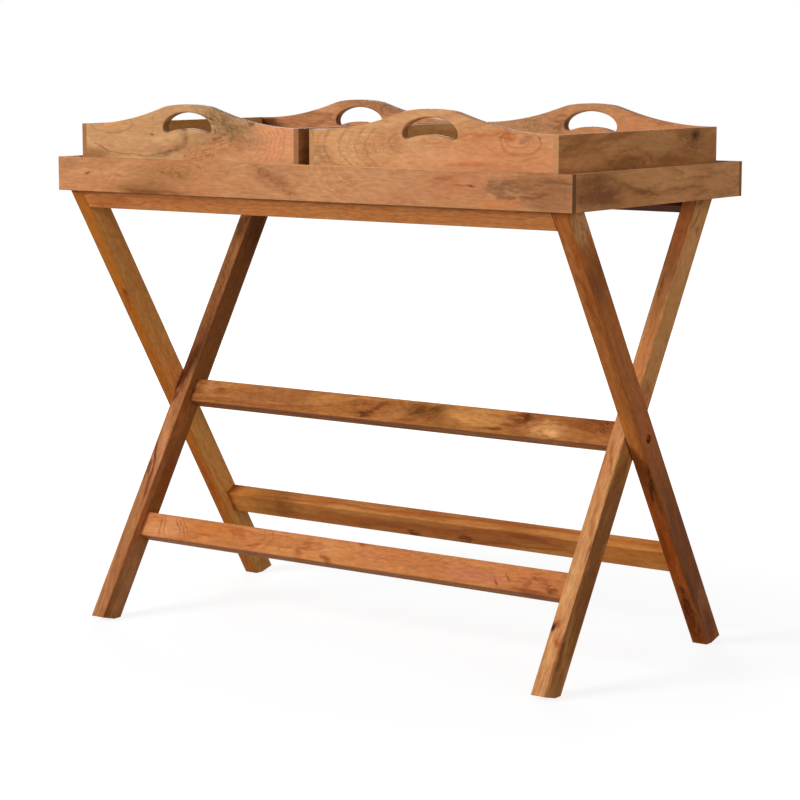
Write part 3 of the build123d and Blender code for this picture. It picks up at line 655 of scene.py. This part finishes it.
tray_wood(
    "large_tray_back_board", LENGTHWISE, UPWARD, heart=(705, -90), lean=(0.4, 3.0), ring=7.0, seed=11,
    tones=((202, 142, 92), (188, 122, 74), (194, 124, 76), (142, 84, 44)), end_tone=(132, 86, 52),
    stains=[
        stain(-200, 706, 90, 20, (176, 112, 64), 0.5),
        stain(260, 712, 70, 10, (150, 94, 52), 0.5, dashes=(18, 2.2, 6)),
        *knot(90, 704, 4, (104, 52, 24)),
    ])
tray_wood(
    "large_tray_left_board", DEPTHWISE, UPWARD, heart=(690, -80), lean=(1.4, 2.0), ring=8.0, seed=12,
    tones=((208, 144, 84), (192, 122, 64), (198, 128, 68), (128, 72, 34)),
    stains=[
        stain(90, 702, 80, 5, (150, 90, 44), 0.6, turn=6),
        stain(-120, 714, 70, 12, (164, 98, 50), 0.5),
    ])
tray_wood(
    "large_tray_right_board", DEPTHWISE, UPWARD, heart=(690, -80), lean=(1.4, 2.0), ring=8.0, seed=13,
    tones=((228, 164, 108), (212, 143, 86), (216, 147, 90), (140, 83, 45)), contrast=0.4, mottle=0.9,
    lines=[
        growth_line(-60, 762, 92, 60, (150, 93, 51), 0.6, thick=12.0, facing=-100, spread=46),
        growth_line(60, 640, 130, 62, (170, 110, 60), 0.6, thick=6.0, facing=90, spread=40),
        growth_line(160, 660, 100, 58, (174, 112, 62), 0.6, thick=6.0, facing=90, spread=40),
    ],
    stains=[
        stain(-185, 706, 74, 34, (160, 100, 59), 0.9),
        stain(-150, 697, 44, 13, (134, 78, 43), 0.6),
        stain(-195, 713, 60, 16, (142, 86, 50), 0.6),
        stain(-185, 708, 66, 26, (112, 64, 34), 0.4, dashes=(14, 2.4, -38)),
        stain(-100, 712, 60, 4, (154, 96, 54), 0.6, turn=-16),
        stain(-40, 699, 36, 4, (140, 84, 45), 0.7, turn=-4),
        stain(60, 701, 70, 3, (158, 98, 52), 0.7),
        stain(130, 694, 40, 4, (164, 102, 56), 0.6, turn=12),
        stain(20, 716, 70, 16, (236, 168, 108), 0.6),
        stain(150, 722, 60, 5, (176, 116, 68), 0.6, turn=-8),
        stain(190, 704, 60, 20, (236, 163, 108), 0.6),
        # Painted highlight: a paler top edge stands in for a glint along it.
        stain(-90, 733, 150, 60, (255, 204, 146), 0.7, face=TOP_FACE),
    ])
tray_wood(
    "large_tray_floor", LENGTHWISE, DEPTHWISE, heart=(10, -200), lean=(1.0, 0.6), ring=9.0, seed=14,
    tones=((188, 132, 86), (174, 112, 68), (178, 114, 70), (128, 76, 40)))
panel_pins("large_tray_pins", 54)


# Serving tray handle boards: the front and back of each serving tray, sawn with a wave on top and a
# kidney-shaped hand hole. Their ends butt against the side boards.
tray_wood(
    "serving_tray_left_front_handle_board", LENGTHWISE, UPWARD, heart=(780, -140), lean=(0.3, -2.0),
    ring=9.0, seed=20, tones=((211, 165, 116), (200, 147, 100), (204, 151, 104), (154, 105, 63)),
    contrast=0.3,
    lines=[
        growth_line(-98, 768, 97, 34, (118, 76, 42), 1.0, thick=-17.0, facing=-14, spread=56),
        growth_line(-98, 772, 97, 34, (126, 81, 43), 0.9, thick=3.5, facing=-100, spread=60),
        growth_line(-98, 772, 82, 26, (174, 123, 77), 0.5, thick=4.0, facing=-80, spread=70),
        growth_line(-152, 787, 42, 15, (148, 99, 55), 0.75, thick=4.0, facing=-50, spread=110),
        growth_line(-150, 790, 30, 9, (164, 113, 65), 0.5, thick=3.0, facing=-60, spread=110),
        growth_line(-150, 790, 86, 46, (162, 111, 67), 0.6, thick=4.0, facing=-8, spread=24),
        growth_line(0, 796, 62, 30, (164, 109, 63), 0.5, thick=4.0, facing=150, spread=40),
        *(growth_line(84, 763, reach, 0.6 * reach, (180, 112, 70), 0.7, thick=2.6, facing=0, spread=40)
          for reach in (58, 67, 76, 84, 93, 102)),
    ],
    stains=[
        stain(-185, 739, 55, 9, (154, 105, 61), 0.85),
        stain(-148, 784, 24, 5, (222, 156, 90), 0.8),
        stain(-70, 769, 4, 2.2, (130, 79, 45), 0.9),
        stain(168, 764, 72, 46, (223, 149, 104), 0.92),
        stain(60, 748, 80, 17, (200, 135, 90), 0.85, turn=6),
        stain(74, 787, 76, 20, (170, 127, 85), 0.95, turn=-20),
        stain(22, 765, 60, 13, (176, 129, 85), 0.85, turn=18),
        stain(72, 785, 70, 20, (106, 72, 41), 0.95, turn=-20, dashes=(9, 1.5, -45)),
        stain(86, 783, 24, 10, (128, 93, 59), 0.5, turn=-45),
        stain(124, 788, 7, 4, (111, 73, 41), 0.85),
        stain(55, 765, 26, 4, (134, 83, 47), 0.7, turn=18),
        stain(102, 762, 13, 14, (182, 117, 73), 0.75),
        stain(50, 752, 76, 16, (148, 87, 49), 0.75, turn=8, dashes=(10, 1.5, 16)),
    ])
tray_wood(
    "serving_tray_right_front_handle_board", LENGTHWISE, UPWARD, heart=(757, -75), lean=(0.0, -6.0),
    ring=7.0, seed=30, tones=((218, 163, 111), (208, 147, 97), (214, 149, 101), (161, 105, 62)),
    contrast=0.25, wander=5.0,
    lines=[
        *(growth_line(tip + 40, 760, 40, 30, (139, 91, 51), strength,
                      thick=4.0, facing=190, spread=75, turn=-6)
          for tip, strength in ((-196, 0.3), (-185, 0.6), (-172, 0.25), (-156, 0.55), (-142, 0.25),
                                (-128, 0.5), (-110, 0.5), (-95, 0.25))),
        growth_line(-30, 768, 40, 16, (151, 99, 62), 0.7, thick=4.0, facing=180, spread=65),
        growth_line(150, 774, 33, 17, (161, 91, 47), 0.8, thick=4.0, facing=-90, spread=125),
        growth_line(146, 776, 20, 10, (179, 101, 53), 0.6, thick=3.5, facing=-90, spread=140),
        growth_line(146, 780, 54, 32, (177, 101, 55), 0.65, thick=3.5, facing=-105, spread=50),
        growth_line(150, 790, 62, 50, (185, 109, 64), 0.5, thick=3.5, facing=-95, spread=50),
    ],
    stains=[
        stain(-196, 746, 26, 20, (173, 125, 82), 0.8),
        stain(-80, 762, 60, 24, (167, 109, 68), 0.6, dashes=(3, 1.6, 0)),
        stain(-55, 764, 14, 12, (189, 129, 86), 0.6),
        stain(30, 748, 90, 14, (222, 157, 111), 0.75),
        stain(10, 770, 36, 6, (177, 113, 70), 0.6, dashes=(6, 1.8, -10)),
        stain(125, 762, 100, 34, (214, 139, 88), 0.7),
        stain(78, 780, 34, 7, (198, 115, 64), 0.75, turn=4),
        stain(80, 741, 60, 5, (204, 117, 66), 0.7),
        stain(128, 782, 16, 7, (181, 97, 49), 0.8),
        stain(145, 771, 10, 5, (228, 153, 99), 0.8),
        stain(160, 777, 14, 5, (171, 121, 86), 0.85, turn=20),
        stain(190, 750, 40, 20, (214, 141, 95), 0.6),
    ])
tray_wood(
    "serving_tray_left_back_handle_board", LENGTHWISE, UPWARD, heart=(770, -80), lean=(0.8, 5.0),
    ring=7.0, seed=21, tones=((210, 151, 104), (194, 131, 87), (196, 131, 85), (141, 87, 51)), mottle=1.3,
    stains=[
        # Painted shadow: the dark patch at the left end is the shadow of the left side board.
        front_stain_and_painted_light(-180, 774, 44, 9, (98, 50, 24), 0.95, turn=-5),
        stain(-118, 778, 40, 9, (176, 116, 75), 0.7),
        stain(-88, 775, 22, 5, (150, 92, 56), 0.7, turn=16),
        stain(30, 808, 76, 12, (176, 126, 87), 0.9),
        stain(84, 800, 36, 16, (172, 122, 83), 0.9),
        stain(50, 804, 60, 14, (136, 92, 58), 0.7, dashes=(8, 2.0, -30)),
    ])
tray_wood(
    "serving_tray_right_back_handle_board", LENGTHWISE, UPWARD, heart=(770, -80), lean=(0.8, 5.0),
    ring=7.0, seed=31, tones=((220, 158, 108), (210, 141, 91), (212, 143, 93), (159, 97, 54)), mottle=1.2,
    stains=[
        stain(-110, 784, 90, 30, (197, 145, 102), 0.95),
        stain(-90, 782, 60, 16, (153, 108, 71), 0.6, dashes=(9, 2.0, 24)),
        stain(0, 809, 76, 9, (195, 143, 100), 0.85),
        stain(-54, 786, 18, 12, (149, 100, 62), 0.75, turn=60),
        stain(110, 790, 90, 20, (212, 143, 95), 0.7),
        stain(110, 792, 70, 5, (171, 102, 62), 0.7, turn=-14, dashes=(26, 2.4, -12)),
    ])


# Serving tray side boards: plain straight boards that cover the ends of the handle boards, each sawn from
# wood of its own. Their floor panels sit in grooves, and panel pins hold the corners.
tray_wood(
    "serving_tray_left_left_side_board", DEPTHWISE, UPWARD, heart=(730, -80), lean=(1.6, 2.0),
    ring=7.0, seed=23, tones=((223, 173, 105), (204, 146, 82), (206, 149, 84), (131, 88, 44)),
    end_tone=(134, 78, 54),
    stains=[
        stain(-80, 750, 90, 6, (150, 92, 48), 0.6, turn=4),
        stain(120, 765, 60, 12, (166, 104, 56), 0.5, dashes=(26, 2.4, 4)),
    ])
# Its darker tones are painted shade of the narrow gap between the two trays.
tray_wood(
    "serving_tray_left_right_side_board", DEPTHWISE, UPWARD, heart=(730, -80), lean=(1.6, 2.0),
    ring=7.0, seed=24, tones=((152, 106, 68), (139, 90, 53), (141, 90, 53), (90, 53, 27)),
    end_tone=(170, 115, 78),
    stains=[
        stain(60, 760, 90, 10, (160, 100, 54), 0.5, turn=-4),
        *knot(-110, 752, 5, (84, 42, 20)),
    ])
tray_wood(
    "serving_tray_right_left_side_board", DEPTHWISE, UPWARD, heart=(730, -80), lean=(1.6, 2.0),
    ring=7.0, seed=33, tones=((240, 193, 130), (220, 166, 102), (223, 168, 105), (148, 101, 55)),
    end_tone=(168, 114, 76),
    stains=[
        stain(40, 752, 80, 8, (170, 112, 62), 0.5, turn=5),
    ])
tray_wood(
    "serving_tray_right_right_side_board", DEPTHWISE, UPWARD, heart=(730, -80), lean=(1.6, 2.0),
    ring=7.0, seed=34, tones=((218, 153, 94), (200, 132, 76), (198, 130, 74), (126, 76, 39)), contrast=0.4,
    mottle=0.9, end_tone=(206, 154, 106),
    lines=[
        *(growth_line(-30, 722, reach, 0.55 * reach, (134, 78, 42), 0.65, thick=9.0, facing=90, spread=70)
          for reach in (22, 44, 66)),
        *(growth_line(-230, 880, 320, reach, (134, 84, 46), 0.5, thick=5.0, facing=-80, spread=40)
          for reach in (101, 110, 124)),
    ],
    stains=[
        stain(-170, 746, 66, 16, (218, 150, 94), 0.8),
        stain(-40, 742, 54, 10, (158, 96, 55), 0.7),
        stain(-185, 770, 40, 10, (150, 98, 57), 0.6, turn=14),
        stain(-90, 776, 90, 5, (150, 94, 53), 0.6, turn=6),
        stain(50, 766, 66, 18, (212, 154, 95), 0.8),
        stain(80, 742, 80, 8, (152, 95, 52), 0.7, turn=-4),
        stain(146, 768, 40, 22, (162, 108, 66), 0.8),
        stain(153, 773, 8.9, 9, (112, 64, 30), 0.9),
        stain(163, 773, 8.9, 9, (104, 58, 27), 0.9),
        stain(158, 772, 4.5, 4.5, (66, 34, 14), 0.85),
        stain(214, 758, 12, 34, (185, 124, 79), 0.6),
    ])
for tray, seed in (("serving_tray_left", 25), ("serving_tray_right", 35)):
    tray_wood(
        f"{tray}_floor", DEPTHWISE, LENGTHWISE, heart=(10, -200), lean=(1.0, 0.6), ring=9.0, seed=seed,
        tones=((192, 136, 90), (178, 114, 70), (182, 118, 74), (130, 78, 42)))
    panel_pins(f"{tray}_pins", seed + 30)


# Floor and light: a white studio floor that only keeps the table's soft shadow, a large soft lamp from the
# front left, weaker ones from the right and from behind, and pale surroundings.
FLOOR_RADIUS = 12.0
FLOOR_CORNERS = 64
FLOOR_DROP = 0.0005
FLOOR_ALBEDO = 0.25
FLOOR_DULLNESS = 0.9

# The lamps light the floor most near the table, so its own glow is a little weaker there
LIT_NEAR, LIT_FAR = 0.45, 1.6
LIT_WHITE, FULL_WHITE = 0.84, 1.0
BLACK, WHITE = (0.0, 0.0, 0.0, 1.0), (1.0, 1.0, 1.0, 1.0)


def looked_at(wire):
    """One for rays from the camera, straight or by way of a mirror or glass, and zero for light."""
    paths = ("Is Camera Ray", "Is Glossy Ray", "Is Transmission Ray")
    seen = [wire.node("ShaderNodeLightPath", {}, {}, path) for path in paths]
    return wire.maths("MAXIMUM", wire.maths("MAXIMUM", seen[0], seen[1]), seen[2])


floor_mesh = bpy.data.meshes.new("studio_floor")
angles = np.linspace(0.0, 2.0 * np.pi, FLOOR_CORNERS, endpoint=False)
depths = np.full(FLOOR_CORNERS, -FLOOR_DROP)
rim = np.stack([FLOOR_RADIUS * np.cos(angles), FLOOR_RADIUS * np.sin(angles), depths], 1)
floor_mesh.from_pydata(rim.tolist(), [], [list(range(FLOOR_CORNERS))])
studio_floor = bpy.data.objects.new("studio_floor", floor_mesh)
bpy.context.scene.collection.objects.link(studio_floor)
floor_finish, floor_shader, floor_wire = new_finish("studio_floor_white")
floor_shader.inputs["Base Color"].default_value = (FLOOR_ALBEDO, FLOOR_ALBEDO, FLOOR_ALBEDO, 1.0)
floor_shader.inputs["Roughness"].default_value = FLOOR_DULLNESS
floor_shader.inputs["Specular IOR Level"].default_value = 0.0
floor_place = floor_wire.node("ShaderNodeTexCoord", {}, {}, "Object")
whiteness = between(length_of(floor_place), LIT_NEAR, LIT_FAR, LIT_WHITE, FULL_WHITE)
glow = tinted(BLACK, looked_at(floor_wire) * whiteness, WHITE)
feed(floor_shader, {"Emission Color": glow})
floor_shader.inputs["Emission Strength"].default_value = 1.0
floor_mesh.materials.append(floor_finish)

SURROUNDING_LIGHT = 0.2
world = bpy.data.worlds.new("studio_surroundings")
bpy.context.scene.world = world
world.use_nodes = True
surroundings = world.node_tree.nodes["Background"]
around = Wire(world.node_tree, surroundings.outputs[0])
feed(surroundings, {"Strength": SURROUNDING_LIGHT + (1.0 - SURROUNDING_LIGHT) * looked_at(around)})
surroundings.inputs["Color"].default_value = WHITE

LAMP_TARGET = Vector((0.0, 0.0, 0.45))


def soft_lamp(name, place, width, power):
    """A square soft box that points at the middle of the table."""
    lamp = bpy.data.lights.new(name, "AREA")
    lamp.size = width
    lamp.energy = power
    holder = bpy.data.objects.new(name, lamp)
    holder.location = place
    holder.rotation_mode = "QUATERNION"
    holder.rotation_quaternion = (LAMP_TARGET - Vector(place)).to_track_quat("-Z", "Y")
    bpy.context.scene.collection.objects.link(holder)


soft_lamp("key_lamp", place=(-2.0, -3.6, 2.0), width=1.8, power=143.0)
soft_lamp("fill_lamp", place=(3.3, -1.7, 1.1), width=2.0, power=33.0)
soft_lamp("rear_lamp", place=(-2.4, 3.0, 1.2), width=1.8, power=64.0)


# Camera: where the picture was taken from, in front, to the right and a little above. Its angles, its
# distance and the length of its lens make the table's edges fall where they are in the picture.
AZIMUTH, TILT, ROLL = radians(35.192), radians(8.242), radians(0.068)
LOOKED_AT = Vector((0.0071, 0.0, 0.3635))
DISTANCE = 3.7324
FRAME_PIXELS = 800.0
FOCAL_PIXELS = 2417.2
AXIS_PIXEL = (397.53, 398.97)
SENSOR_WIDTH = 36.0
backward = Vector((sin(AZIMUTH) * cos(TILT), -cos(AZIMUTH) * cos(TILT), sin(TILT)))
level_right = Vector((cos(AZIMUTH), sin(AZIMUTH), 0.0))
level_up = backward.cross(level_right)
camera_right = cos(ROLL) * level_right + sin(ROLL) * level_up
camera_up = cos(ROLL) * level_up - sin(ROLL) * level_right
lens = bpy.data.cameras.new("camera")
lens.sensor_width = SENSOR_WIDTH
lens.lens = FOCAL_PIXELS / FRAME_PIXELS * SENSOR_WIDTH
lens.shift_x = (FRAME_PIXELS / 2 - AXIS_PIXEL[0]) / FRAME_PIXELS
lens.shift_y = (AXIS_PIXEL[1] - FRAME_PIXELS / 2) / FRAME_PIXELS
camera = bpy.data.objects.new("camera", lens)
pose = Matrix((camera_right, camera_up, backward)).transposed().to_4x4()
pose.translation = LOOKED_AT + DISTANCE * backward
camera.matrix_world = pose
bpy.context.scene.collection.objects.link(camera)
bpy.context.scene.camera = camera
bpy.context.scene.view_settings.view_transform = "Standard"
